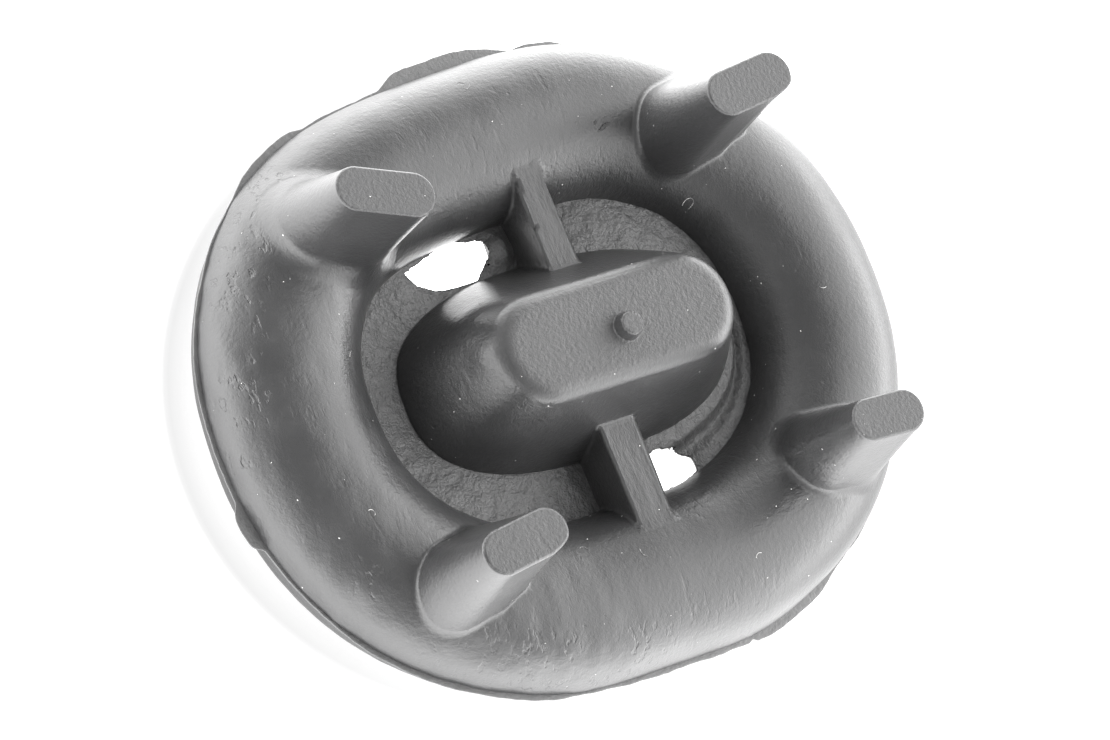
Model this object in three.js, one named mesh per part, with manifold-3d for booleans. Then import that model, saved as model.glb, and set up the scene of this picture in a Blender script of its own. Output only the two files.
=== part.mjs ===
// Exhaust hanger rubber: one black rubber moulding that carries an exhaust pipe under a car body.
// A thick oval ring takes the pull of the two wire hooks. A stop block stands in its middle on two
// webs, so that the hooks can't knock together. Four pegs on the ring's upper face keep the hooks
// from sliding off. A thin skin of moulding flash, torn through in two places, still closes the
// gap between ring and block, and a ragged rim of it runs round the outside.
// Millimetres, +Z up. X runs along the oval, Y along the webs. The moulding stands on the flat land
// under the ring, and the origin is the middle of that land.

import * as THREE from 'three';
import { LoftGeometry } from 'three/addons/geometries/LoftGeometry.js';
import { mergeVertices } from 'three/addons/utils/BufferGeometryUtils.js';
import Module from 'manifold-3d';

// Ring: an oval tube, measured at the parting plane halfway up. It is slack in two places, each with
// its direction in degrees, how far it spreads before and after that, and its depth
const ringLength = 76;
const ringWidth = 63.8;
const ringSquareness = 2.22;
const tubeWidth = 16.2;
const tubeHeight = 14;
const landDepth = 0.25;
const slackPower = 2;
const slacks = [
  { at: 100, before: 42, after: 42, depth: 1.2 },
  { at: -92, before: 27, after: 27, depth: 0.65 },
];

// Pegs: obround lugs with a flared foot, all heights counted from the parting plane. The four are
// listed from the upper left one clockwise, each with the bend and the size that it has now: in
// degrees the direction of its foot from the ring's middle, its lean along X and Y and the turn of
// its long side, then its size and its tip's length as shares of the full ones
const pegTipHeight = 17.7;
const pegFootHeight = 4;
const pegFootLength = 13.4;
const pegFootWidth = 10;
const pegTipLength = 9.9;
const pegTipWidth = 4.6;
const pegFlare = 1.15;
const pegEdge = 0.45;
const pegs = [
  { foot: 140.5, lean: [0.5, -2.5], toe: -20, size: 0.94, tip: 1.02 },
  { foot: 41.5, lean: [2.3, -2.4], toe: 7, size: 1, tip: 1.03 },
  { foot: -38.7, lean: [-1.8, 2], toe: -3, size: 0.92, tip: 0.85 },
  { foot: -140.5, lean: [0.3, 1.4], toe: 7, size: 0.93, tip: 0.95 },
];

// Stop block: an oval foot that tapers to an obround top with a rounded edge
const blockShift = 0.7;
const blockFootLength = 37.2;
const blockFootWidth = 20;
const blockSquareness = 2.5;
const blockFootHeight = 0.6;
const blockTopLength = 26.2;
const blockTopWidth = 9.8;
const blockTopHeight = 12;
const blockBulge = 1.05;
const blockEdge = 1.2;
const blockUnderside = 5.2;
const blockUndercut = 0.9;

// Moulding pip on the block's top
const pipDiameter = 2.4;
const pipHeight = 1.4;
const pipDraft = 0.25;
const pipShiftX = 0.4;
const pipShiftY = -0.5;

// Webs between block and ring
const webTop = 5.6;
const webUnderside = 4.4;
const upperWebShift = 0.8;
const upperWebBlockThickness = 4.1;
const upperWebRingThickness = 2.9;
const lowerWebShift = -0.5;
const lowerWebBlockThickness = 4.6;
const lowerWebRingThickness = 4.2;

// Flash skin between block and ring, with the outline of its two torn holes, each point as shares
// of the way from the ring's middle to its inner edge along X and along Y
const skinThickness = 0.9;
const skinGrip = 3;
const tornBesideUpperWeb = [
  [-0.56, 0.803], [-0.523, 0.72], [-0.44, 0.65], [-0.225, 0.637], [-0.142, 0.79],
  [-0.138, 0.854], [-0.294, 0.917],
];
const tornBesideLowerWeb = [
  [0.156, -0.949], [0.156, -0.739], [0.303, -0.707], [0.394, -0.732], [0.468, -0.809],
  [0.477, -0.904], [0.362, -0.955],
];

// Flash rim round the outside: a trimmed edge with longer rags left on it, each with its
// direction in degrees, how far it spreads before and after that, and its length as a share of the
// longest. A share below zero is a place where the rim is trimmed closer
const rimThickness = 0.5;
const rimWidth = 0.22;
const rimGrip = 2;
const ragLength = 1.3;
const ragPower = 4;
const rags = [
  { at: 97, before: 22, after: 6, share: 1 },
  { at: 113, before: 9, after: 9, share: -0.1 },
  { at: 69, before: 6, after: 4, share: 0.46 },
  { at: 130, before: 10, after: 11, share: 0.42 },
  { at: 178, before: 24, after: 20, share: 0.23 },
  { at: 190, before: 5, after: 2.5, share: 0.68 },
  { at: 232, before: 30, after: 14, share: 0.27 },
  { at: 302, before: 14, after: 9, share: 0.27 },
  { at: 319, before: 5, after: 12, share: 0.15 },
];

// Facets
const ringSteps = 80;
const tubeSteps = 24;
const pegSteps = 24;
const pegLevels = 6;
const blockSteps = 44;
const blockLevels = 6;
const edgeLevels = 3;
const rimSteps = 144;
const pipSteps = 20;
const weldDistance = 1e-5;

const partingHeight = tubeHeight / 2 - landDepth;
const turn = 2 * Math.PI;
const degree = Math.PI / 180;

// Point of a rounded oval with half sizes a and b, where round = 2 gives an ellipse
function ovalPoint(a, b, round, angle) {
  const c = Math.cos(angle);
  const s = Math.sin(angle);
  const swell = (Math.abs(c) ** round + Math.abs(s) ** round) ** (-1 / round);
  return new THREE.Vector2(a * c * swell, b * s * swell);
}

// Outward direction of that oval at the same angle
function ovalNormal(a, b, round, angle) {
  const c = Math.cos(angle);
  const s = Math.sin(angle);
  const x = Math.sign(c) * Math.abs(c) ** (round - 1) / a;
  const y = Math.sign(s) * Math.abs(s) ** (round - 1) / b;
  return new THREE.Vector2(x, y).normalize();
}

// Point of an obround, a straight bar with half-round ends, seen from its middle
function obroundPoint(a, b, angle) {
  const way = new THREE.Vector2(a * Math.cos(angle), b * Math.sin(angle)).normalize();
  const straight = a - b;
  const toSide = b / Math.max(Math.abs(way.y), 1e-9);
  if (toSide * Math.abs(way.x) <= straight) return way.multiplyScalar(toSide);
  const along = straight * Math.abs(way.x);
  return way.multiplyScalar(along + Math.sqrt(b * b - (straight * way.y) ** 2));
}

// A hump of height 1 at one direction that dies away before and after it, squarer for a higher power
function hump(direction, { at, before, after }, power) {
  const off = (direction - at + 540) % 360 - 180;
  const share = Math.abs(off) / (off < 0 ? before : after);
  return share < 1 ? (1 - share ** power) ** 2 : 0;
}

// Half sizes of the oval that the tube's centre line follows
const lineLength = (ringLength - tubeWidth) / 2;
const lineWidth = (ringWidth - tubeWidth) / 2;

// A point of that line, moved outwards by reach
function ringPoint(angle, reach) {
  const place = ovalPoint(lineLength, lineWidth, ringSquareness, angle);
  const normal = ovalNormal(lineLength, lineWidth, ringSquareness, angle);
  const direction = Math.atan2(place.y, place.x) / degree;
  const give = slacks.reduce((sum, slack) => sum + slack.depth * hump(direction, slack, slackPower), 0);
  return place.addScaledVector(normal, reach - give);
}

function ring() {
  const sections = [];
  for (let i = 0; i <= ringSteps; i++) {
    const angle = (i % ringSteps) / ringSteps * turn;
    const section = [];
    for (let j = 0; j < tubeSteps; j++) {
      const around = j / tubeSteps * turn;
      const place = ringPoint(angle, -tubeWidth / 2 * Math.cos(around));
      const z = Math.max(tubeHeight / 2 * Math.sin(around), -partingHeight);
      section.push(new THREE.Vector3(place.x, place.y, z));
    }
    sections.push(section);
  }
  return new LoftGeometry(sections);
}

// A closed loft through level outlines, where shape(k, angle, inset) gives the outline that is
// k of the way from foot to top, and each level is { z, k, inset }
function levelLoft(levels, steps, shape) {
  const sections = levels.map(({ z, k, inset }) => {
    const section = [];
    for (let i = 0; i < steps; i++) {
      const place = shape(k, i / steps * turn, inset);
      section.push(new THREE.Vector3(place.x, place.y, z));
    }
    return section;
  });
  return new LoftGeometry(sections, { capStart: true, capEnd: true });
}

// Levels of a quarter-round edge of the given radius below height z
function roundedEdge(z, radius, k) {
  const levels = [];
  for (let i = 0; i <= edgeLevels; i++) {
    const bend = i / edgeLevels * turn / 4;
    levels.push({ z: z - radius * (1 - Math.sin(bend)), k, inset: radius * (1 - Math.cos(bend)) });
  }
  return levels;
}

function peg({ foot, lean, toe, size, tip }) {
  const levels = [];
  for (let i = 0; i < pegLevels; i++) {
    const s = i / pegLevels;
    const z = pegFootHeight + (pegTipHeight - pegEdge - pegFootHeight) * s;
    levels.push({ z, k: 1 - (1 - s) ** pegFlare, inset: 0 });
  }
  levels.push(...roundedEdge(pegTipHeight, pegEdge, 1));
  const geometry = levelLoft(levels, pegSteps, (k, angle, inset) => {
    const wide = obroundPoint(pegFootLength * size / 2, pegFootWidth * size / 2, angle);
    const a = pegTipLength * tip / 2 - inset;
    const b = pegTipWidth * size / 2 - inset;
    return wide.lerp(obroundPoint(a, b, angle), k);
  });
  const [overX, overY] = lean.map((angle) => Math.tan(angle * degree));
  const slope = new THREE.Matrix4().makeShear(0, 0, 0, 0, overX, overY);
  geometry.rotateZ(toe * degree).translate(0, 0, -pegFootHeight).applyMatrix4(slope);
  const place = ringPoint(footAngle(foot), 0);
  return geometry.translate(place.x, place.y, pegFootHeight);
}

// The oval's own angle for the direction that is seen from its middle
function footAngle(direction) {
  const x = Math.cos(direction * degree) / lineLength;
  const y = Math.sin(direction * degree) / lineWidth;
  return Math.atan2(y, x);
}

function block() {
  const levels = [
    { z: -blockUnderside, k: 0, inset: blockUndercut },
    { z: 0, k: 0, inset: 0 },
  ];
  for (let i = 0; i < blockLevels; i++) {
    const s = i / blockLevels;
    const z = blockFootHeight + (blockTopHeight - blockEdge - blockFootHeight) * s;
    levels.push({ z, k: s ** blockBulge, inset: 0 });
  }
  levels.push(...roundedEdge(blockTopHeight, blockEdge, 1));
  const geometry = levelLoft(levels, blockSteps, (k, angle, inset) => {
    const a = blockFootLength / 2 - inset;
    const b = blockFootWidth / 2 - inset;
    const top = obroundPoint(blockTopLength / 2 - inset, blockTopWidth / 2 - inset, angle);
    return ovalPoint(a, b, blockSquareness, angle).lerp(top, k);
  });
  return geometry.translate(blockShift, 0, 0);
}

function pip() {
  const root = blockEdge;
  const tall = pipHeight + root;
  const radius = pipDiameter / 2;
  const geometry = new THREE.CylinderGeometry(radius, radius + pipDraft, tall, pipSteps);
  geometry.rotateX(turn / 4);
  return geometry.translate(blockShift + pipShiftX, pipShiftY, blockTopHeight - root + tall / 2);
}

// A web runs from the block's middle to the ring's centre line, where it lies at the height reach
function web(reach, shift, blockThickness, ringThickness) {
  const outline = new THREE.Shape();
  outline.moveTo(-blockThickness / 2, 0);
  outline.lineTo(blockThickness / 2, 0);
  outline.lineTo(ringThickness / 2, reach);
  outline.lineTo(-ringThickness / 2, reach);
  const tall = webTop + webUnderside;
  const geometry = new THREE.ExtrudeGeometry(outline, { depth: tall, bevelEnabled: false });
  return geometry.translate(blockShift + shift, 0, -webUnderside);
}

// The outline of a torn hole
function torn(shares) {
  const x = lineLength - tubeWidth / 2;
  const y = lineWidth - tubeWidth / 2;
  return new THREE.Path(shares.map((share) => new THREE.Vector2(share[0] * x, share[1] * y)));
}

function skin() {
  const edge = [];
  for (let i = 0; i < ringSteps; i++) {
    edge.push(ringPoint(i / ringSteps * turn, skinGrip - tubeWidth / 2));
  }
  const outline = new THREE.Shape(edge);
  outline.holes.push(torn(tornBesideUpperWeb), torn(tornBesideLowerWeb));
  const geometry = new THREE.ExtrudeGeometry(outline, { depth: skinThickness, bevelEnabled: false });
  return geometry.translate(0, 0, -skinThickness / 2);
}

// How far the flash rim stands out in a direction given in degrees
function ragReach(direction) {
  const lengths = rags.map((rag) => ragLength * rag.share * hump(direction, rag, ragPower));
  return lengths.reduce((sum, length) => sum + length, rimWidth);
}

function rim() {
  const outside = [];
  const inside = [];
  for (let i = 0; i < rimSteps; i++) {
    const angle = i / rimSteps * turn;
    const place = ringPoint(angle, 0);
    const direction = Math.atan2(place.y, place.x) / degree;
    outside.push(ringPoint(angle, tubeWidth / 2 + ragReach(direction)));
    inside.push(ringPoint(angle, tubeWidth / 2 - rimGrip));
  }
  const outline = new THREE.Shape(outside);
  outline.holes.push(new THREE.Path(inside));
  const geometry = new THREE.ExtrudeGeometry(outline, { depth: rimThickness, bevelEnabled: false });
  return geometry.translate(0, 0, -rimThickness / 2);
}

const wasm = await Module();
wasm.setup();

// Joins the shared points of a closed geometry and makes a solid of it
function solid(geometry) {
  const plain = new THREE.BufferGeometry().copy(geometry);
  plain.deleteAttribute('normal');
  plain.deleteAttribute('uv');
  const merged = mergeVertices(plain, weldDistance);
  return new wasm.Manifold(new wasm.Mesh({
    numProp: 3,
    vertProperties: new Float32Array(merged.attributes.position.array),
    triVerts: new Uint32Array(merged.index.array),
  }));
}

// The whole moulding is one solid
const shapes = [
  ring(),
  block(),
  pip(),
  web(lineWidth, upperWebShift, upperWebBlockThickness, upperWebRingThickness),
  web(-lineWidth, lowerWebShift, lowerWebBlockThickness, lowerWebRingThickness),
  skin(),
  rim(),
  ...pegs.map(peg),
];
const moulding = shapes.map(solid).reduce((whole, piece) => whole.add(piece));

const { vertProperties, triVerts } = moulding.getMesh();
const geometry = new THREE.BufferGeometry();
geometry.setAttribute('position', new THREE.BufferAttribute(vertProperties, 3));
geometry.setIndex(new THREE.BufferAttribute(triVerts, 1));
geometry.computeVertexNormals();

const rubber = new THREE.MeshStandardMaterial({ color: 0x4a4a4c, roughness: 0.62, metalness: 0 });
const hanger = new THREE.Mesh(geometry, rubber);
hanger.name = 'hanger_rubber';
hanger.position.z = partingHeight;

const group = new THREE.Group();
group.add(hanger);

export default group;
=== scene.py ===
# Exhaust hanger rubber, dressed: a black rubber moulding with an oval ring, four pegs that keep
# the wire hooks on, a stop block on two webs, and the torn flash that was never trimmed away.
# The shapes are worked out in millimetres with z counted from the parting plane, as the mould
# maker would, and become metres in the frame of the CAD model when a mesh is made.

import math

import bpy
import bmesh
import numpy as np
from mathutils import Matrix, Vector
from mathutils.bvhtree import BVHTree


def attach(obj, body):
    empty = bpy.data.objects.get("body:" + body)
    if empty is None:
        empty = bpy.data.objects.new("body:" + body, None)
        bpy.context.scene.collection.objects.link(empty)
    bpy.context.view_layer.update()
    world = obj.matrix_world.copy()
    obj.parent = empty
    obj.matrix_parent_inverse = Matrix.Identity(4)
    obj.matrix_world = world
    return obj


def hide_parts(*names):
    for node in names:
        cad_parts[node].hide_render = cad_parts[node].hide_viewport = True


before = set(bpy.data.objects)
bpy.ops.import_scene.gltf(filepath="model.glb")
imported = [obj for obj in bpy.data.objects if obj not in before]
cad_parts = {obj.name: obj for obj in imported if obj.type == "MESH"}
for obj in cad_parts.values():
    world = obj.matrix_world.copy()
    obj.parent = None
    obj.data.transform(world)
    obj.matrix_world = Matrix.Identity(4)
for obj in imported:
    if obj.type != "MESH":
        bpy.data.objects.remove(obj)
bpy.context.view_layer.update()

MM = 0.001
NODE = "hanger_rubber"

# Ring: an oval tube with a flat land under it, slack in two places, each with its direction in
# degrees, its spread before and after that, and its depth
RING_LENGTH = 76.0
RING_WIDTH = 63.8
RING_SQUARENESS = 2.22
TUBE_WIDTH = 16.2
TUBE_HEIGHT = 14.0
LAND_DEPTH = 0.25
LAND_EDGE = 0.3
SLACKS = [(100, 42, 42, 1.2), (-92, 27, 27, 0.65)]
PARTING_HEIGHT = TUBE_HEIGHT / 2 - LAND_DEPTH

# Half the length and half the width of the tube's centre line
LINE_LENGTH = (RING_LENGTH - TUBE_WIDTH) / 2
LINE_WIDTH = (RING_WIDTH - TUBE_WIDTH) / 2

# Pegs, from the upper left one clockwise: direction of the foot, lean along X and Y and turn of
# the long side in degrees, size and tip length as shares of the full ones, how deep a flute the
# mould left down the flank, and the radius of the tip's edge and of the fillet at the foot. Each
# starts inside the tube, and spreads on by a share of its height below its foot
PEG_TIP_HEIGHT = 17.7
PEG_FOOT_HEIGHT = 4.0
PEG_FOOT_LENGTH = 13.4
PEG_FOOT_WIDTH = 10.0
PEG_TIP_LENGTH = 9.9
PEG_TIP_WIDTH = 4.6
PEG_FLARE = 1.15
PEG_START = 1.5
PEG_SPREAD_BELOW = 0.25
PEGS = [
    dict(foot=140.5, lean=(0.5, -2.5), toe=-20.0, size=0.94, tip=1.02, flute=0.0, edge=0.22, root=1.8),
    dict(foot=41.5, lean=(2.3, -2.4), toe=7.0, size=1.0, tip=1.03, flute=0.6, edge=0.22, root=0.45),
    dict(foot=-38.7, lean=(-1.8, 2.0), toe=-3.0, size=0.92, tip=0.85, flute=0.0, edge=0.25, root=0.7),
    dict(foot=-140.5, lean=(0.3, 1.4), toe=7.0, size=0.93, tip=0.95, flute=0.3, edge=0.25, root=0.4),
]
FLUTE_RADIUS = 2.2
FLUTE_TOP = 4.0
FLUTE_FOOT = 3.2
FLUTE_DEPTH_AT_TIP = 0.1
FLUTE_EDGE = 0.9

# Stop block and the moulding pip on it. Two soft lumps below its flat top are each given by their
# middle, reach and height. The tilt of its flank is taken out of its distance by a factor
BLOCK_SHIFT = 0.7
BLOCK_FOOT_LENGTH = 37.2
BLOCK_FOOT_WIDTH = 20.0
BLOCK_SQUARENESS = 2.5
BLOCK_FOOT_HEIGHT = 0.6
BLOCK_TOP_LENGTH = 26.2
BLOCK_TOP_WIDTH = 9.8
BLOCK_TOP_HEIGHT = 12.0
BLOCK_BULGE = 1.05
BLOCK_EDGE = 1.2
BLOCK_LUMPS = [(-14.1, 1.2, 10.2, 1.6, 0.26), (-13.0, 6.2, 8.2, 2.8, 0.42)]
BLOCK_UNDERSIDE = 5.2
BLOCK_UNDERCUT = 0.9
BLOCK_UNDERSIDE_EDGE = 0.5
BLOCK_FLANK_FACTOR = 0.92
PIP_DIAMETER = 2.4
PIP_HEIGHT = 1.4
PIP_DRAFT = 0.25
PIP_SHIFT = (0.4, -0.5)
PIP_EDGE = 0.15
PIP_FILLET = 0.15
PIP_SUNK = 1.5

# Webs: side of the ring, shift along X, thickness at the block and at the ring
WEB_TOP = 5.6
WEB_UNDERSIDE = 4.4
WEB_EDGE = 0.18
WEB_FILLET = 0.35
WEBS = [
    dict(side=1, shift=0.8, block=4.1, ring=2.9),
    dict(side=-1, shift=-0.5, block=4.6, ring=4.2),
]

# Flash skin between block and ring, with its torn holes as shares of the ring's opening
SKIN_THICKNESS = 0.62
SKIN_GRIP = 1.6
SKIN_TEAR = 0.22
SKIN_THINNEST = 0.45
TORN_BESIDE_UPPER_WEB = [
    (-0.56, 0.803), (-0.523, 0.72), (-0.44, 0.65), (-0.225, 0.637), (-0.142, 0.79),
    (-0.138, 0.854), (-0.294, 0.917),
]
TORN_BESIDE_LOWER_WEB = [
    (0.156, -0.949), (0.156, -0.739), (0.303, -0.707), (0.394, -0.732), (0.468, -0.809),
    (0.477, -0.904), (0.362, -0.955),
]

# The skin's lip and groove round the block's right end, and the ledge that it forms beside the
# upper web
LIP_HEIGHT = 0.4
GROOVE_DEPTH = 0.55
LEDGE_HEIGHT = 0.7

# A crumb of torn flash left beside the upper web: its middle, reach and height
CRUMB_PLACE = (-2.2, 12.2)
CRUMB_SIZE = 1.6
CRUMB_HEIGHT = 1.4

# Flash rim round the outside: a trimmed edge, and longer rags, each with its direction in degrees,
# its spread before and after that, and its share of the longest, below zero where it was cut away
RIM_THICKNESS = 0.55
RIM_WIDTH = 0.22
RIM_GRIP = 1.2
RAG_LENGTH = 1.3
RAG_SQUARENESS = 4
RAGS = [
    (95, 24, 11.3, 1.04), (66, 6, 7, 0.32), (130, 7, 11, 0.4), (178, 24, 20, 0.23),
    (190, 5, 2.5, 0.68), (232, 30, 14, 0.27), (285, 38, 30, 0.27), (300, 14, 10, 0.25),
    (288, 0.8, 0.8, -0.2), (319, 5, 12, 0.12),
]

# Lint: place along X and Y, length, way in degrees and how far it curls round
LINT = [
    (19.0, 10.3, 1.9, 20, 250), (-8.4, -18.7, 1.0, 100, 120), (-3.4, -20.3, 1.1, 250, 90),
    (-1.5, 27.2, 0.9, 10, 60), (-29.0, -9.5, 1.0, 60, 140), (27.5, -1.5, 0.8, 300, 80),
    (-24.0, 6.0, 0.7, 200, 60), (9.0, -24.5, 0.9, 150, 110),
]
LINT_RADIUS = 0.025
LINT_STEPS = 12
LINT_SIDES = 5

# Dust: flecks on a square metre, the radius of the largest in metres, and how far upwards a surface
# has to face, from 0 to 1, for dust to lie on it
DUST_DENSITY = 32000.0
DUST_SIZE = 0.00011
DUST_FACING = 0.1

# Places where the rubber was drawn out as it left the mould, each with its middle and reach
DRAWN_PLACES = [(5.4, -16.7, 4.0, 2.6), (-12.6, 6.0, 8.5, 2.6), (16.5, -18.0, 9.0, 4.5)]

# How high the surfaces wave and ripple, and how deep the rim's edge is nicked
BODY_WAVE = 0.07
RING_WAVE = 0.028
LEFT_RIPPLE = 0.045
WEB_RIPPLE = 0.06
SKIN_WAVE = 0.14
SKIN_RIPPLE = 0.08
SKIN_FINE_RIPPLE = 0.05
RIM_WAVE = 0.05
RIM_NICK = 0.09
RIM_FINE_NICK = 0.035

# Heights between which the matt tops of the pegs and of the block begin
MATT_TIP = (16.6, 17.3)
MATT_TOP = (11.2, 11.8)

# Small scars and a black speck, each with its place, way in degrees, length and width
SCARS = [(11.05, 19.86, 20, 1.5, 0.5), (-1.6, 27.98, -15, 0.7, 0.35), (10.2, 20.4, 60, 0.5, 0.3)]

# How deep the marks of the moulded rubber go, in steps of the finest bump
BUMP_STEP = 0.00005
GRAIN_DEPTH = 2.2
STREAK_DEPTH = 2.4
DENT_DEPTH = 1.9
SCAR_DEPTH = 2.5
SCAR_TONE = (0.004, 0.004, 0.004)

# Light: brightness of the walls, and their share of it by height of the direction; brightness of
# the table, how it rises away from the ring, by distance in half lengths of it, and towards which
# side it falls, from and to what cosine of the angle off it, and to what share; half the table's
# side and how far it lies below the land, in metres; and the lamp's direction, spread and share
WALL_BRIGHTNESS = 8.0
WALL_TONES = [(0.12, 0.88), (0.34, 0.45), (0.5, 0.26), (0.64, 0.15), (0.77, 0.1), (1.0, 0.1)]
TABLE_BRIGHTNESS = 7.0
# The table's glow dips low just round the ring's outside as a painted shadow of the ring on the table
TABLE_RISE = [
    (0.6, 0.75), (0.74, 0.2), (1.02, 0.06), (1.12, 0.24), (1.2, 0.31), (1.42, 0.65), (1.85, 1.0),
]
TABLE_FALL_WAY = math.radians(-15)
TABLE_FALL = (0.55, 0.93, 0.145)
TABLE_HALF = 2.5
TABLE_UNDER = -0.0002
LAMP_WAY = Vector((0.79, -0.2, 0.57))
LAMP_EDGE = 0.55
LAMP_CORE = 0.93
LAMP_BRIGHTNESS = 0.55

# Fineness of the meshes, and the reach along X, Y and Z of the grids they are worked out on
BODY_STEP = 0.48
BODY_STEP_UP = 0.44
BODY_STEP_BELOW = 0.62
BODY_REACH = [(-39.6, 39.7), (-33.6, 33.8), (-7.4, 18.8)]
BODY_MIDDLE = -1.2
SKIN_STEP = 0.27
SKIN_STEP_UP = 0.2
SKIN_REACH = [(-24.6, 24.7), (-18.2, 18.3), (-2.2, 4.0)]
RIM_STEPS = 900
LINE_STEPS = 720

# How far from a tip, a foot, the block's top and the pip's middle the moulding's mesh is made finer
FINE_AT_TIPS = 1.3
FINEST_AT_TIPS = 0.45
FINE_AT_FEET = 0.9
FINEST_AT_FEET = 0.4
FINE_AT_TOP = 0.6
FINE_ROUND_PIP = 2.4


# Shapes as signed distances, in millimetres, negative inside


def oval_points(reach, count):
    """Points of the tube's centre line, moved outwards by reach, which may differ by direction."""
    angle = np.linspace(0, 2 * math.pi, count, endpoint=False)
    c, s, n = np.cos(angle), np.sin(angle), RING_SQUARENESS
    swell = (np.abs(c) ** n + np.abs(s) ** n) ** (-1 / n)
    x, y = LINE_LENGTH * c * swell, LINE_WIDTH * s * swell
    nx = np.sign(c) * np.abs(c) ** (n - 1) / LINE_LENGTH
    ny = np.sign(s) * np.abs(s) ** (n - 1) / LINE_WIDTH
    size = np.hypot(nx, ny)
    direction = np.degrees(np.arctan2(y, x))
    out = reach(direction) if callable(reach) else reach
    for at, before, after, depth in SLACKS:
        out = out - depth * hump(direction, at, before, after)
    return np.stack([x + nx / size * out, y + ny / size * out], 1), direction


def hump(direction, at, before, after, power=2):
    """A hump of height 1 at one direction, in degrees, that ends before and after it."""
    off = (direction - at + 540) % 360 - 180
    off = np.minimum(np.abs(off) / np.where(off < 0, before, after), 1)
    return (1 - off**power) ** 2


class OffsetMap:
    """Distance of any place from the ring's centre line, outwards positive, kept on a fine grid."""

    step = 0.5

    def __init__(self, half_x, half_y):
        self.low = np.array([-half_x, -half_y])
        xs = np.arange(-half_x, half_x + self.step, self.step)
        ys = np.arange(-half_y, half_y + self.step, self.step)
        line, _ = oval_points(0.0, LINE_STEPS)
        self.values = np.empty((len(xs), len(ys)))
        for i, x in enumerate(xs):
            apart = np.hypot(x - line[:, None, 0], ys[None, :] - line[:, None, 1])
            nearest = apart.argmin(0)
            outside = (x * line[nearest, 0] + ys * line[nearest, 1]) > (line[nearest] ** 2).sum(1)
            self.values[i] = np.where(outside, 1, -1) * apart.min(0)

    def __call__(self, x, y):
        u = np.clip((x - self.low[0]) / self.step, 0, self.values.shape[0] - 1.001)
        v = np.clip((y - self.low[1]) / self.step, 0, self.values.shape[1] - 1.001)
        i, j = u.astype(int), v.astype(int)
        u, v = u - i, v - j
        w = self.values
        near = w[i, j] * (1 - u) + w[i + 1, j] * u
        far = w[i, j + 1] * (1 - u) + w[i + 1, j + 1] * u
        return near * (1 - v) + far * v


ring_offset = OffsetMap(42.0, 37.0)


def round_join(a, b, radius):
    """Union of two shapes with a fillet of that radius between them."""
    corner = np.hypot(np.maximum(radius - a, 0), np.maximum(radius - b, 0))
    return np.maximum(radius, np.minimum(a, b)) - corner


def round_cut(a, b, radius):
    """What two shapes have in common, with an edge rounded to that radius."""
    corner = np.hypot(np.maximum(radius + a, 0), np.maximum(radius + b, 0))
    return np.minimum(-radius, np.maximum(a, b)) + corner


def obround(x, y, a, b):
    return np.hypot(np.maximum(np.abs(x) - (a - b), 0), y) - b


def oval(x, y, a, b, n):
    x, y = np.maximum(np.abs(x), 1e-6), np.maximum(np.abs(y), 1e-6)
    size = ((x / a) ** n + (y / b) ** n) ** (1 / n)
    slope = size ** (1 - n) * np.hypot(x ** (n - 1) / a**n, y ** (n - 1) / b**n)
    return (size - 1) / slope


def ring_shape(x, y, z):
    off = ring_offset(x, y)
    a, b = TUBE_WIDTH / 2, TUBE_HEIGHT / 2
    k0 = np.maximum(np.hypot(off / a, z / b), 1e-6)
    k1 = np.maximum(np.hypot(off / a**2, z / b**2), 1e-6)
    return round_cut(k0 * (k0 - 1) / k1, -PARTING_HEIGHT - z, LAND_EDGE)


def stand(peg):
    """Where a peg's foot stands on the ring's centre line."""
    way = math.radians(peg["foot"])
    angle = math.atan2(math.sin(way) / LINE_WIDTH, math.cos(way) / LINE_LENGTH)
    count = 10 * LINE_STEPS
    line, _ = oval_points(0.0, count)
    return line[round(angle / (2 * math.pi) * count) % count]


for peg in PEGS:
    peg["place"] = stand(peg)


def peg_local(peg, x, y, z):
    """A place in the peg's own upright frame, with its long side along the first axis."""
    rise = z - PEG_FOOT_HEIGHT
    x = x - peg["place"][0] - rise * math.tan(math.radians(peg["lean"][0]))
    y = y - peg["place"][1] - rise * math.tan(math.radians(peg["lean"][1]))
    c, s = math.cos(math.radians(peg["toe"])), math.sin(math.radians(peg["toe"]))
    return x * c + y * s, y * c - x * s


def peg_shape(peg, x, y, z):
    u, v = peg_local(peg, x, y, z)
    s = np.clip((z - PEG_FOOT_HEIGHT) / (PEG_TIP_HEIGHT - PEG_FOOT_HEIGHT), -PEG_SPREAD_BELOW, 1)
    k = 1 - (1 - s) ** PEG_FLARE
    a = PEG_FOOT_LENGTH * peg["size"] / 2 * (1 - k) + PEG_TIP_LENGTH * peg["tip"] / 2 * k
    b = PEG_FOOT_WIDTH * peg["size"] / 2 * (1 - k) + PEG_TIP_WIDTH * peg["size"] / 2 * k
    side = obround(u, v, a, b)
    if peg["flute"]:
        middle = FLUTE_FOOT + (FLUTE_TOP - FLUTE_FOOT) * s
        deep = peg["flute"] * (1 - s) + FLUTE_DEPTH_AT_TIP
        flute = np.hypot(u - middle, v + b + FLUTE_RADIUS - deep) - FLUTE_RADIUS
        side = round_cut(side, -flute, FLUTE_EDGE)
    side = round_cut(side, z - PEG_TIP_HEIGHT, peg["edge"])
    return np.maximum(side, PEG_START - z)


def foot_distance(x, y, z):
    """Distance from the lines where the pegs rise from the ring's upper side."""
    from_ring = np.abs(ring_shape(x, y, z))
    far = [np.maximum(np.abs(peg_shape(peg, x, y, z)), from_ring) for peg in PEGS]
    return np.where(z > 1, np.min(far, 0), np.inf)


def block_profile(z):
    """How far the block's outline has gone from foot to top at height z."""
    s = np.clip((z - BLOCK_FOOT_HEIGHT) / (BLOCK_TOP_HEIGHT - BLOCK_FOOT_HEIGHT), 0, 1)
    return s**BLOCK_BULGE


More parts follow.
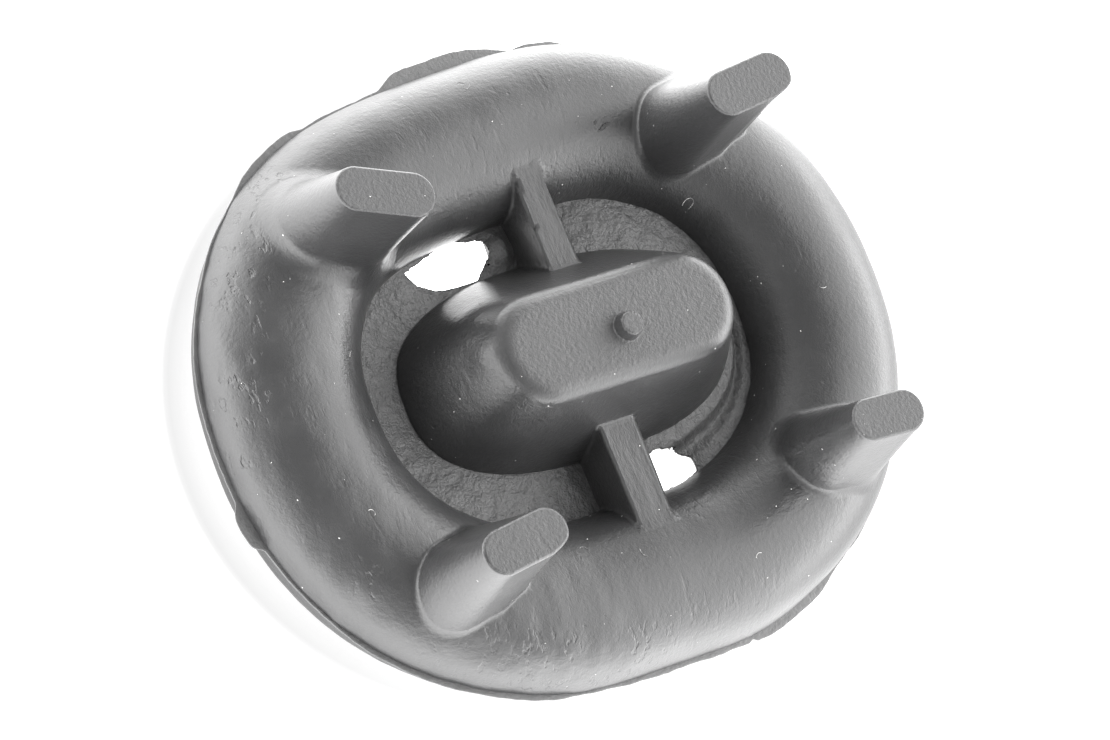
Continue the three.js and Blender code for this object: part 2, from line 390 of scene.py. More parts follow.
def block_side(x, y, z):
    inset = BLOCK_UNDERCUT * np.clip(-z / BLOCK_UNDERSIDE, 0, 1)
    a, b = BLOCK_FOOT_LENGTH / 2 - inset, BLOCK_FOOT_WIDTH / 2 - inset
    foot = oval(x - BLOCK_SHIFT, y, a, b, BLOCK_SQUARENESS)
    top = obround(x - BLOCK_SHIFT, y, BLOCK_TOP_LENGTH / 2, BLOCK_TOP_WIDTH / 2)
    k = block_profile(z)
    return (foot * (1 - k) + top * k) * BLOCK_FLANK_FACTOR


def block_shape(x, y, z):
    body = round_cut(block_side(x, y, z), z - BLOCK_TOP_HEIGHT, BLOCK_EDGE)
    for cx, cy, cz, size, height in BLOCK_LUMPS:
        far = ((x - cx) ** 2 + (y - cy) ** 2 + (z - cz) ** 2) / size**2
        body = body - height * np.exp(-far)
    return round_cut(body, -BLOCK_UNDERSIDE - z, BLOCK_UNDERSIDE_EDGE)


def pip_shape(x, y, z):
    far = np.hypot(x - BLOCK_SHIFT - PIP_SHIFT[0], y - PIP_SHIFT[1])
    up = BLOCK_TOP_HEIGHT + PIP_HEIGHT - z
    side = far - PIP_DIAMETER / 2 - PIP_DRAFT * np.clip(up / PIP_HEIGHT, 0, 1)
    return np.maximum(round_cut(side, -up, PIP_EDGE), BLOCK_TOP_HEIGHT - PIP_SUNK - z)


def web_shape(web, x, y, z):
    along = np.clip(web["side"] * y / LINE_WIDTH, 0, 1)
    half = (web["block"] * (1 - along) + web["ring"] * along) / 2
    side = np.abs(x - BLOCK_SHIFT - web["shift"]) - half
    body = round_cut(side, z - WEB_TOP, WEB_EDGE)
    body = round_cut(body, -WEB_UNDERSIDE - z, WEB_EDGE)
    return np.maximum(body, np.maximum(-web["side"] * y, web["side"] * y - LINE_WIDTH))


def moulding_shape(x, y, z):
    """The whole moulding without its flash."""
    middle = round_join(block_shape(x, y, z), pip_shape(x, y, z), PIP_FILLET)
    whole = ring_shape(x, y, z)
    for web in WEBS:
        middle = round_join(middle, web_shape(web, x, y, z), WEB_FILLET)
    whole = round_join(whole, middle, WEB_FILLET)
    for peg in PEGS:
        whole = round_join(whole, peg_shape(peg, x, y, z), peg["root"])
    return whole


def polygon_shape(points, x, y):
    """Signed distance to the outline of a torn hole, given as shares of the ring's opening."""
    half = np.array([LINE_LENGTH - TUBE_WIDTH / 2, LINE_WIDTH - TUBE_WIDTH / 2])
    corners = np.array(points) * half
    far = np.full(x.shape, 1e9)
    inside = np.zeros(x.shape, bool)
    for (ax, ay), (bx, by) in zip(corners, np.roll(corners, -1, 0)):
        ex, ey = bx - ax, by - ay
        t = np.clip(((x - ax) * ex + (y - ay) * ey) / (ex**2 + ey**2), 0, 1)
        far = np.minimum(far, np.hypot(x - ax - ex * t, y - ay - ey * t))
        crosses = (ay > y) != (by > y)
        inside ^= crosses & (x < ex * (y - ay) / (ey if ey else 1e-9) + ax)
    return np.where(inside, -far, far)


def torn_holes(x, y):
    return np.minimum(
        polygon_shape(TORN_BESIDE_UPPER_WEB, x, y), polygon_shape(TORN_BESIDE_LOWER_WEB, x, y)
    )


# Seeded unevenness


class Unevenness:
    """Smooth seeded noise from -1 to 1, with a cell size in millimetres."""

    def __init__(self, seed):
        self.table = np.random.default_rng(seed).uniform(-1, 1, (32, 32, 32))

    def __call__(self, x, y, z, cell):
        cell = np.broadcast_to(np.array(cell, float), (3,))
        p = np.stack(np.broadcast_arrays(x / cell[0], y / cell[1], z / cell[2]), -1)
        base = np.floor(p).astype(int)
        t = p - base
        t = t * t * (3 - 2 * t)
        total = 0.0
        for corner in range(8):
            step = np.array([corner & 1, corner >> 1 & 1, corner >> 2])
            i = (base + step) & 31
            weight = np.prod(np.where(step, t, 1 - t), -1)
            total = total + weight * self.table[i[..., 0], i[..., 1], i[..., 2]]
        return total


uneven = Unevenness(17)
ripple = Unevenness(43)


def smooth_step(low, high, value):
    t = np.clip((value - low) / (high - low), 0, 1)
    return t * t * (3 - 2 * t)


# Meshes


def surface_of(shape, xs, ys, zs):
    """A closed quad mesh over the surface of a shape, from its signed distance on a grid."""
    gx, gy, gz = np.meshgrid(xs, ys, zs, indexing="ij")
    value = shape(gx, gy, gz)
    places = np.stack([gx, gy, gz], -1)
    inside = value < 0
    cells = tuple(n - 1 for n in value.shape)
    total, count = np.zeros(cells + (3,)), np.zeros(cells)
    crossings = []
    for axis in range(3):
        near = tuple(slice(0, -1) if k == axis else slice(None) for k in range(3))
        far = tuple(slice(1, None) if k == axis else slice(None) for k in range(3))
        crossed = np.argwhere(inside[near] != inside[far])
        i = tuple(crossed.T)
        j = tuple(crossed[:, k] + (k == axis) for k in range(3))
        t = value[i] / (value[i] - value[j])
        place = places[i] * (1 - t)[:, None] + places[j] * t[:, None]
        one, two = (axis + 1) % 3, (axis + 2) % 3
        around = []
        for back_one, back_two in ((1, 1), (0, 1), (0, 0), (1, 0)):
            cell = crossed.copy()
            cell[:, one] -= back_one
            cell[:, two] -= back_two
            np.add.at(total, tuple(cell.T), place)
            np.add.at(count, tuple(cell.T), 1)
            around.append(cell)
        crossings.append((np.stack(around, 1), inside[i]))
    index = np.full(cells, -1)
    used = count > 0
    index[used] = np.arange(used.sum())
    points = total[used] / count[used][:, None]
    faces = []
    for around, outwards in crossings:
        quad = index[around[..., 0], around[..., 1], around[..., 2]]
        faces.append(np.where(outwards[:, None], quad, quad[:, ::-1]))
    return points, np.concatenate(faces)


def slope_of(shape, points):
    """Value and slope of a shape's distance at points."""
    x, y, z = points.T
    e = 0.02
    slope = np.stack([
        shape(x + e, y, z) - shape(x - e, y, z),
        shape(x, y + e, z) - shape(x, y - e, z),
        shape(x, y, z + e) - shape(x, y, z - e),
    ], 1) / (2 * e)
    return shape(x, y, z), slope


def settle(shape, points, rounds=3):
    """Moves points onto the surface of a shape and gives its outward direction there."""
    for _ in range(rounds):
        value, slope = slope_of(shape, points)
        square = np.maximum((slope**2).sum(1), 0.05)
        move = slope * (value / square)[:, None]
        length = np.linalg.norm(move, axis=1)
        move *= np.minimum(1, 0.3 / np.maximum(length, 1e-9))[:, None]
        points = points - move
    _, slope = slope_of(shape, points)
    return points, slope / np.maximum(np.linalg.norm(slope, axis=1), 1e-9)[:, None]


def finer(points, faces, chosen):
    """Cuts the quads round the chosen points into four."""
    mesh = bpy.data.meshes.new("finer")
    mesh.from_pydata(points.tolist(), [], faces)
    work = bmesh.new()
    work.from_mesh(mesh)
    work.verts.ensure_lookup_table()
    picked = set(np.nonzero(chosen)[0].tolist())
    edges = [e for e in work.edges if all(v.index in picked for v in e.verts)]
    bmesh.ops.subdivide_edges(work, edges=edges, cuts=1, use_grid_fill=True)
    work.verts.index_update()
    points = np.array([v.co[:] for v in work.verts])
    faces = [[v.index for v in f.verts] for f in work.faces]
    work.free()
    bpy.data.meshes.remove(mesh)
    return points, faces


def piece_from(name, points, faces, material):
    """An object at the origin with its place in its mesh, in metres above the land."""
    mesh = bpy.data.meshes.new(name)
    placed = (np.asarray(points) + [0, 0, PARTING_HEIGHT]) * MM
    mesh.from_pydata(placed.tolist(), [], faces)
    mesh.validate()
    for polygon in mesh.polygons:
        polygon.use_smooth = True
    mesh.materials.append(material)
    piece = bpy.data.objects.new(name, mesh)
    bpy.context.scene.collection.objects.link(piece)
    return piece


def shade(piece, directions):
    """Gives a piece the true directions of its surface, so that creases and edges stay clean."""
    piece.data.normals_split_custom_set_from_vertices(directions.tolist())


def add_mask(piece, name, values):
    layer = piece.data.attributes.new(name, "FLOAT", "POINT")
    layer.data.foreach_set("value", np.asarray(values, np.float32))


def adopt(piece):
    """Lets a finished piece stand for the CAD solid and ride on its body."""
    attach(piece, "root")
    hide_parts(NODE)


def moulding(material):
    """Ring, pegs, stop block and webs as one closed skin, as they come out of the mould."""
    xs, ys = (np.arange(*reach, BODY_STEP) for reach in BODY_REACH[:2])
    lowest, highest = BODY_REACH[2]
    below = np.arange(lowest, BODY_MIDDLE, BODY_STEP_BELOW)
    zs = np.concatenate([below, np.arange(below[-1] + BODY_STEP_UP, highest, BODY_STEP_UP)])
    points, faces = surface_of(moulding_shape, xs, ys, zs)
    points, _ = settle(moulding_shape, points, 2)
    x, y, z = points.T
    pip_near = np.hypot(x - BLOCK_SHIFT - PIP_SHIFT[0], y - PIP_SHIFT[1]) < FINE_ROUND_PIP
    chosen = (z > PEG_TIP_HEIGHT - FINE_AT_TIPS) | (pip_near & (z > BLOCK_TOP_HEIGHT - FINE_AT_TOP))
    chosen |= foot_distance(x, y, z) < FINE_AT_FEET
    points, faces = finer(points, faces.tolist(), chosen)
    points, _ = settle(moulding_shape, points)
    x, y, z = points.T
    chosen = (z > PEG_TIP_HEIGHT - FINEST_AT_TIPS) | (foot_distance(x, y, z) < FINEST_AT_FEET)
    points, faces = finer(points, faces, chosen)
    points, out = settle(moulding_shape, points, 2)
    x, y, z = points.T
    on_ring = smooth_step(0.4, 0.2, np.abs(ring_shape(x, y, z)))
    flat_up = smooth_step(0.85, 0.97, out[:, 2])
    web_near = np.min([web_shape(web, x, y, z) for web in WEBS], 0) < 0.4
    web = flat_up * web_near * (np.abs(z - WEB_TOP) < 0.3)
    tip = flat_up * smooth_step(*MATT_TIP, z)
    top = flat_up * smooth_step(*MATT_TOP, z) * (z < 15)
    left = smooth_step(4, 22, -x - 0.25 * y)

    def lift(x, y, z):
        total = BODY_WAVE * uneven(x, y, z, 9) + RING_WAVE * uneven(y, z, x, 2.4) * on_ring
        total += LEFT_RIPPLE * left * ripple(x, y, z, (1.1, 2.6, 1.6)) * on_ring
        total += WEB_RIPPLE * web * ripple(x, y, z, (1.1, 5.0, 3.0))
        return total * smooth_step(0.1, 0.6, z + PARTING_HEIGHT)

    slope = slope_of(lift, points)[1]
    slope -= out * (slope * out).sum(1)[:, None]
    piece = piece_from("moulding", points + out * lift(x, y, z)[:, None], faces, material)
    shade(piece, out - slope)
    drawn = np.zeros(len(x))
    for cx, cy, cz, size in DRAWN_PLACES:
        drawn = np.maximum(drawn, np.exp(-((x - cx) ** 2 + (y - cy) ** 2 + (z - cz) ** 2) / size**2))
    add_mask(piece, "matt_top", np.clip(tip + top, 0, 1))
    add_mask(piece, "coarse_top", np.clip(0.7 * tip + top, 0, 1))
    add_mask(piece, "web_top", web)
    add_mask(piece, "drawn_marks", drawn)
    off = ring_offset(x, y)
    band = smooth_step(2.8, 5.0, off) * smooth_step(8.3, 7.4, off) * on_ring * (z > 0.5)
    add_mask(piece, "dented", band * left * smooth_step(-0.5, 0.3, uneven(x, y, z + 30, 5)))
    adopt(piece)
    return piece


def skin_height(x, y):
    """The wavy middle of the flash skin, with its lip and groove at the block's right end."""
    flat = 0 * x
    from_block = block_side(x, y, flat)
    to_ring = np.maximum(-(ring_offset(x, y) + TUBE_WIDTH / 2), 0)
    across = from_block / np.maximum(from_block + to_ring, 1)
    direction = np.degrees(np.arctan2(y, x))
    right = smooth_step(44, 26, np.abs(direction + 30))
    lip = smooth_step(0.4, 0.24, across)
    groove = np.exp(-(((across - 0.5) / 0.15) ** 2))
    ledge = hump(direction, 52, 50, 36)
    wave = SKIN_WAVE * uneven(x, y, flat, 5) + SKIN_RIPPLE * ripple(x, y, flat, 1.3)
    wave += SKIN_FINE_RIPPLE * ripple(y, x, flat + 4, 0.8)
    crumb = np.exp(-(np.hypot(x - CRUMB_PLACE[0], y - CRUMB_PLACE[1]) / CRUMB_SIZE) ** 2)
    crumb *= CRUMB_HEIGHT * (1 + 0.3 * ripple(x, y, flat, 1.2))
    return wave + crumb + LEDGE_HEIGHT * ledge + right * (LIP_HEIGHT * lip - GROOVE_DEPTH * groove)


def skin_shape(x, y, z):
    ragged = 0.1 * uneven(x, y, 0 * x + 3, 1.6) + 0.04 * ripple(x, y, 0 * x + 5, 0.7)
    holes = torn_holes(x, y) + ragged
    full = smooth_step(0.1, 1.2, holes)
    thin = SKIN_THICKNESS / 2 * (SKIN_THINNEST + (1 - SKIN_THINNEST) * full)
    plate = np.abs(z - skin_height(x, y)) - thin
    field = round_cut(plate, -holes, SKIN_TEAR)
    field = np.maximum(field, ring_offset(x, y) + TUBE_WIDTH / 2 - SKIN_GRIP)
    return np.maximum(field, -SKIN_GRIP - block_side(x, y, 0 * x))


def flash_skin(material):
    xs, ys = (np.arange(*reach, SKIN_STEP) for reach in SKIN_REACH[:2])
    zs = np.arange(*SKIN_REACH[2], SKIN_STEP_UP)
    points, faces = surface_of(skin_shape, xs, ys, zs)
    points, out = settle(skin_shape, points, 2)
    piece = piece_from("flash_skin", points, faces.tolist(), material)
    shade(piece, out)
    adopt(piece)


def rag_reach(direction):
    """How far the flash rim stands out, with small nicks and tears along its edge."""
    reach = RIM_WIDTH
    for at, before, after, share in RAGS:
        reach = reach + RAG_LENGTH * share * hump(direction, at, before, after, RAG_SQUARENESS)
    around = np.radians(direction)
    x, y = 30 * np.cos(around), 30 * np.sin(around)
    nick = RIM_NICK * uneven(x, y, 0 * x, 2.2) + RIM_FINE_NICK * ripple(x, y, 0 * x, 0.6)
    return TUBE_WIDTH / 2 + np.maximum(reach + nick, 0.05)


def flash_rim(material):
    """The rim follows the parting line: one section swept round it, thin at its torn edge."""
    thick = RIM_THICKNESS / 2
    section = [(-1, -1.6), (0.0, -1.05), (0.5, -0.7), (0.85, -0.1), (1.0, 0.6),
               (0.97, 0.87), (0.9, 0.93), (0.5, 0.97), (0.0, 1.0), (-1, 1.5)]
    edge, direction = oval_points(rag_reach, RIM_STEPS)
    root, _ = oval_points(TUBE_WIDTH / 2, RIM_STEPS)
    grip, _ = oval_points(TUBE_WIDTH / 2 - RIM_GRIP, RIM_STEPS)
    rows = []
    for share, height in section:
        plan = root + (edge - root) * share if share >= 0 else grip
        wave = RIM_WAVE * uneven(plan[:, 0], plan[:, 1], 0 * direction, 3)
        rows.append(np.column_stack([plan, height * thick + wave]))
    points = np.concatenate(rows)
    n, m = RIM_STEPS, len(section)
    faces = [
        [j * n + i, j * n + (i + 1) % n, (j + 1) % m * n + (i + 1) % n, (j + 1) % m * n + i]
        for j in range(m) for i in range(n)
    ]
    piece = piece_from("flash_rim", points, faces, material)
    adopt(piece)


# Lint and dust on the rubber


def lint(rubber_piece, material):
    """Short curled fibres that lie on the rubber, each with its place, length, way and curl."""
    points = [v.co for v in rubber_piece.data.vertices]
    ground = BVHTree.FromPolygons(points, [p.vertices[:] for p in rubber_piece.data.polygons])
    rings, faces = [], []
    for x, y, length, way, curl in LINT:
        place, way = np.array([x, y]), math.radians(way)
        for i in range(LINT_STEPS + 1):
            step = np.array([math.cos(way), math.sin(way)])
            hit = ground.ray_cast(Vector((*(place * MM), 0.1)), Vector((0, 0, -1)))[0]
            middle = Vector((*place, hit.z / MM - PARTING_HEIGHT + LINT_RADIUS))
            across = Vector((-step[1], step[0], 0))
            for k in range(LINT_SIDES):
                bend = 2 * math.pi * k / LINT_SIDES
                spoke = math.cos(bend) * across + math.sin(bend) * Vector((0, 0, 1))
                rings.append(middle + LINT_RADIUS * spoke)
            place = place + step * length / LINT_STEPS
            way += math.radians(curl) / LINT_STEPS
    n = LINT_SIDES
    for fibre in range(len(LINT)):
        first = fibre * (LINT_STEPS + 1) * n
        for i in range(LINT_STEPS):
            for k in range(n):
                a, b = first + i * n + k, first + i * n + (k + 1) % n
                faces.append([b, a, a + n, b + n])
        last = first + LINT_STEPS * n
        faces.append([first + k for k in range(n)])
        faces.append([last + k for k in reversed(range(n))])
    piece = piece_from("lint", [p[:] for p in rings], faces, material)
    adopt(piece)


def dust_tree(material):
    """Strews small flecks over a surface, with named inputs for number and size."""
    tree = bpy.data.node_groups.new("strewn_dust", "GeometryNodeTree")
    face = tree.interface
    face.new_socket("Rubber", in_out="INPUT", socket_type="NodeSocketGeometry")
    sizes = {}
    for name, value in (("Flecks per square metre", DUST_DENSITY), ("Fleck size", DUST_SIZE)):
        socket = face.new_socket(name, in_out="INPUT", socket_type="NodeSocketFloat")
        socket.default_value = value
        sizes[name] = socket.identifier
    face.new_socket("Dust", in_out="OUTPUT", socket_type="NodeSocketGeometry")
    new, link = tree.nodes.new, tree.links.new
    start, end = new("NodeGroupInput"), new("NodeGroupOutput")
    strew = new("GeometryNodeDistributePointsOnFaces")
    strew.inputs["Seed"].default_value = 7
    normal, split = new("GeometryNodeInputNormal"), new("ShaderNodeSeparateXYZ")
    above = new("FunctionNodeCompare")
    above.data_type, above.operation = "FLOAT", "GREATER_THAN"
    above.inputs["B"].default_value = DUST_FACING
    link(normal.outputs["Normal"], split.inputs[0])
    link(split.outputs["Z"], above.inputs["A"])
    link(start.outputs["Rubber"], strew.inputs["Mesh"])
    link(above.outputs[0], strew.inputs["Selection"])
    link(start.outputs["Flecks per square metre"], strew.inputs["Density"])
    fleck = new("GeometryNodeMeshIcoSphere")
    fleck.inputs["Subdivisions"].default_value = 1
    link(start.outputs["Fleck size"], fleck.inputs["Radius"])
    place = new("GeometryNodeInstanceOnPoints")
    spread = new("FunctionNodeRandomValue")
    spread.data_type = "FLOAT_VECTOR"
    spread.inputs["Min"].default_value = (0.3, 0.3, 0.15)
    spread.inputs["Max"].default_value = (1.0, 0.7, 0.4)
    spread.inputs["Seed"].default_value = 5
    link(strew.outputs["Points"], place.inputs["Points"])
    link(strew.outputs["Rotation"], place.inputs["Rotation"])
    link(fleck.outputs["Mesh"], place.inputs["Instance"])
    link(spread.outputs["Value"], place.inputs["Scale"])
    real, paint = new("GeometryNodeRealizeInstances"), new("GeometryNodeSetMaterial")
    paint.inputs["Material"].default_value = material
    link(place.outputs["Instances"], real.inputs["Geometry"])
    link(real.outputs["Geometry"], paint.inputs["Geometry"])
    link(paint.outputs["Geometry"], end.inputs["Dust"])
    return tree, sizes


def dust(rubber_piece, material):
    """Dust flecks as a piece of their own, grown on the moulding's upper surfaces."""
    tree, sizes = dust_tree(material)
    bearer = bpy.data.objects.new("dust_bearer", rubber_piece.data)
    bpy.context.scene.collection.objects.link(bearer)
    grow = bearer.modifiers.new("strew", "NODES")
    grow.node_group = tree
    grow[sizes["Fleck size"]] = DUST_SIZE
    grow[sizes["Flecks per square metre"]] = DUST_DENSITY
    depsgraph = bpy.context.evaluated_depsgraph_get()
    mesh = bpy.data.meshes.new_from_object(bearer.evaluated_get(depsgraph))
    bpy.data.objects.remove(bearer)
    mesh.name = "dust_flecks"
    piece = bpy.data.objects.new("dust_flecks", mesh)
    bpy.context.scene.collection.objects.link(piece)
    adopt(piece)


# Materials


def effect(name, inputs, outputs):
    """An empty shader node group with named float inputs and outputs, and its ends."""
    group = bpy.data.node_groups.new(name, "ShaderNodeTree")
    group.interface.new_socket("Place", in_out="INPUT", socket_type="NodeSocketVector")
    for label, value in inputs.items():
        socket = group.interface.new_socket(label, in_out="INPUT", socket_type="NodeSocketFloat")
        socket.default_value = value
    for label in outputs:
        group.interface.new_socket(label, in_out="OUTPUT", socket_type="NodeSocketFloat")
    return group, group.nodes.new("NodeGroupInput"), group.nodes.new("NodeGroupOutput")


def noise(tree, place, scale, detail=2.0, roughness=0.5, stretch=None):
    """A noise texture of so many cells per metre, stretched along the axes if asked."""
    node = tree.nodes.new("ShaderNodeTexNoise")
    node.inputs["Detail"].default_value = detail
    node.inputs["Roughness"].default_value = roughness
    node.inputs["Scale"].default_value = scale
    if stretch:
        turn = tree.nodes.new("ShaderNodeMapping")
        turn.inputs["Scale"].default_value = stretch
        tree.links.new(place, turn.inputs["Vector"])
        place = turn.outputs["Vector"]
    tree.links.new(place, node.inputs["Vector"])
    return node.outputs["Fac"]


def sum_of(tree, operation, a, b, clamp=False):
    """Any sum of two values, each a number or another node's output."""
    node = tree.nodes.new("ShaderNodeMath")
    node.operation = operation
    node.use_clamp = clamp
    for socket, value in zip(node.inputs, (a, b)):
        if isinstance(value, (int, float)):
            socket.default_value = value
        else:
            tree.links.new(value, socket)
    return node.outputs[0]


def between(tree, value, low, high, to_low=0.0, to_high=1.0):
    """Goes smoothly from one value to another while the value it follows goes from low to high."""
    node = tree.nodes.new("ShaderNodeMapRange")
    node.interpolation_type = "SMOOTHSTEP"
    limits = {"From Min": low, "From Max": high, "To Min": to_low, "To Max": to_high}
    for label, number in limits.items():
        node.inputs[label].default_value = number
    tree.links.new(value, node.inputs["Value"])
    return node.outputs["Result"]


def blend(tree, factor, one, two):
    """A tone between two, each a colour or another node's output."""
    node = tree.nodes.new("ShaderNodeMix")
    node.data_type = "RGBA"
    for label, tone in (("A", one), ("B", two)):
        if isinstance(tone, tuple):
            node.inputs[label].default_value = (*tone, 1)
        else:
            tree.links.new(tone, node.inputs[label])
    tree.links.new(factor, node.inputs["Factor"])
    return node.outputs["Result"]


def ramp(tree, value, stops):
    """A grey tone along a value, from stops that each give a place and a tone."""
    node = tree.nodes.new("ShaderNodeValToRGB")
    marks = node.color_ramp.elements
    for mark, (at, tone) in zip(marks, (stops[0], stops[-1])):
        mark.position, mark.color = at, (tone, tone, tone, 1)
    for at, tone in stops[1:-1]:
        marks.new(at).color = (tone, tone, tone, 1)
    tree.links.new(value, node.inputs["Fac"])
    return node.outputs["Color"]


def vector_sum(tree, operation, vector, second=None):
    """A number worked out from a vector, such as its length, or from two."""
    node = tree.nodes.new("ShaderNodeVectorMath")
    node.operation = operation
    tree.links.new(vector, node.inputs[0])
    if second:
        node.inputs[1].default_value = second
    return node.outputs["Value"]


def new_material(name):
    """A material with its tree, its shader and the place on the object."""
    material = bpy.data.materials.new(name)
    material.use_nodes = True
    tree = material.node_tree
    place = tree.nodes.new("ShaderNodeTexCoord").outputs["Object"]
    return material, tree, tree.nodes["Principled BSDF"], place


def orange_peel():
    """Fine grain of a rubber surface: pebbles a third of a millimetre wide, and finer tooth."""
    group, start, end = effect("orange_peel", {"Pebbles": 0.5, "Tooth": 0.5}, ["Height"])
    place = start.outputs["Place"]
    pebbles = sum_of(group, "MULTIPLY", noise(group, place, 2100, 2, 0.5), start.outputs["Pebbles"])
    tooth = sum_of(group, "MULTIPLY", noise(group, place, 6000, 2, 0.6), start.outputs["Tooth"])
    group.links.new(sum_of(group, "ADD", pebbles, tooth), end.inputs["Height"])
    return group


def flow_marks():
    """Drawn-out dents that the rubber's flow in the mould left, strongest in drifting patches."""
    group, start, end = effect("flow_marks", {"Depth": 0.5}, ["Height"])
    place = start.outputs["Place"]
    marks = noise(group, place, 900, 3, 0.5, (1.7, 0.5, 0.8))
    dents = between(group, marks, 0.28, 0.46)
    where = between(group, noise(group, place, 85, 2), 0.44, 0.62)
    patchy = sum_of(group, "MULTIPLY", dents, where)
    height = sum_of(group, "MULTIPLY", patchy, start.outputs["Depth"])
    group.links.new(height, end.inputs["Height"])
    return group


def pits():
    """Scattered small irregular dents and specks."""
    group, start, end = effect("pits", {"Depth": 0.5, "Spacing": 420.0}, ["Height"])
    cells = group.nodes.new("ShaderNodeTexVoronoi")
    group.links.new(start.outputs["Place"], cells.inputs["Vector"])
    group.links.new(start.outputs["Spacing"], cells.inputs["Scale"])
    chosen = group.nodes.new("ShaderNodeSeparateColor")
    group.links.new(cells.outputs["Color"], chosen.inputs[0])
    few = between(group, chosen.outputs[0], 0.7, 0.95)
    torn = sum_of(group, "MULTIPLY", noise(group, start.outputs["Place"], 5000, 2), 0.12)
    far = sum_of(group, "ADD", cells.outputs["Distance"], torn)
    spot = between(group, far, 0.06, 0.17, -1.0, 0.0)
    deep = sum_of(group, "MULTIPLY", sum_of(group, "MULTIPLY", few, spot), start.outputs["Depth"])
    group.links.new(deep, end.inputs["Height"])
    return group


def striae():
    """Fibrous streaks along one way, as on rubber that was drawn out or cut."""
    group, start, end = effect("striae", {"Depth": 0.5}, ["Height"])
    place = start.outputs["Place"]
    fine = noise(group, place, 1700, 3, 0.65, (1.0, 0.3, 0.5))
    broad = noise(group, place, 800, 2, 0.5, (1.0, 0.35, 0.5))
    both = sum_of(group, "ADD", fine, broad)
    group.links.new(sum_of(group, "MULTIPLY", both, start.outputs["Depth"]), end.inputs["Height"])
    return group


def bloom():
    """Patches where the rubber has gone greyer and duller."""
    group, start, end = effect("bloom", {"Amount": 0.5}, ["Mask"])
    place = start.outputs["Place"]
    patches = between(group, noise(group, place, 95, 4, 0.6), 0.35, 0.7)
    specks = between(group, noise(group, place, 1400, 2, 0.5), 0.55, 0.75)
    both = sum_of(group, "ADD", patches, sum_of(group, "MULTIPLY", specks, 0.35))
    group.links.new(sum_of(group, "MULTIPLY", both, start.outputs["Amount"], True), end.inputs["Mask"])
    return group


EFFECTS = {
    "peel": orange_peel(),
    "flow": flow_marks(),
    "pits": pits(),
    "striae": striae(),
    "bloom": bloom(),
}


def placed(tree, effect_name, place, values):
    node = tree.nodes.new("ShaderNodeGroup")
    node.node_tree = EFFECTS[effect_name]
    tree.links.new(place, node.inputs["Place"])
    for label, value in values.items():
        if isinstance(value, (int, float)):
            node.inputs[label].default_value = value
        else:
            tree.links.new(value, node.inputs[label])
    return node


def added(tree, heights):
    total = heights[0]
    for height in heights[1:]:
        total = sum_of(tree, "ADD", total, height)
    return total


def mask_value(tree, name):
    layer = tree.nodes.new("ShaderNodeAttribute")
    layer.attribute_name = name
    return layer.outputs["Fac"]


def turned(tree, place, degrees):
    turn = tree.nodes.new("ShaderNodeMapping")
    turn.inputs["Rotation"].default_value = (0, 0, math.radians(degrees))
    tree.links.new(place, turn.inputs["Vector"])
    return turn.outputs["Vector"]


def scar_mask(tree, place, x, y, degrees, length, width):
    """Where a small torn scar lies on the rubber, seen from above."""
    turn = tree.nodes.new("ShaderNodeMapping")
    turn.vector_type = "TEXTURE"
    turn.inputs["Location"].default_value = (x * MM, y * MM, 0)
    turn.inputs["Rotation"].default_value = (0, 0, math.radians(degrees))
    turn.inputs["Scale"].default_value = (length / 2 * MM, width / 2 * MM, 1000)
    tree.links.new(place, turn.inputs["Vector"])
    away = vector_sum(tree, "LENGTH", turn.outputs["Vector"])
    torn = sum_of(tree, "ADD", away, noise(tree, place, 3000, 2))
    return between(tree, torn, 1.1, 1.5, 1.0, 0.0)


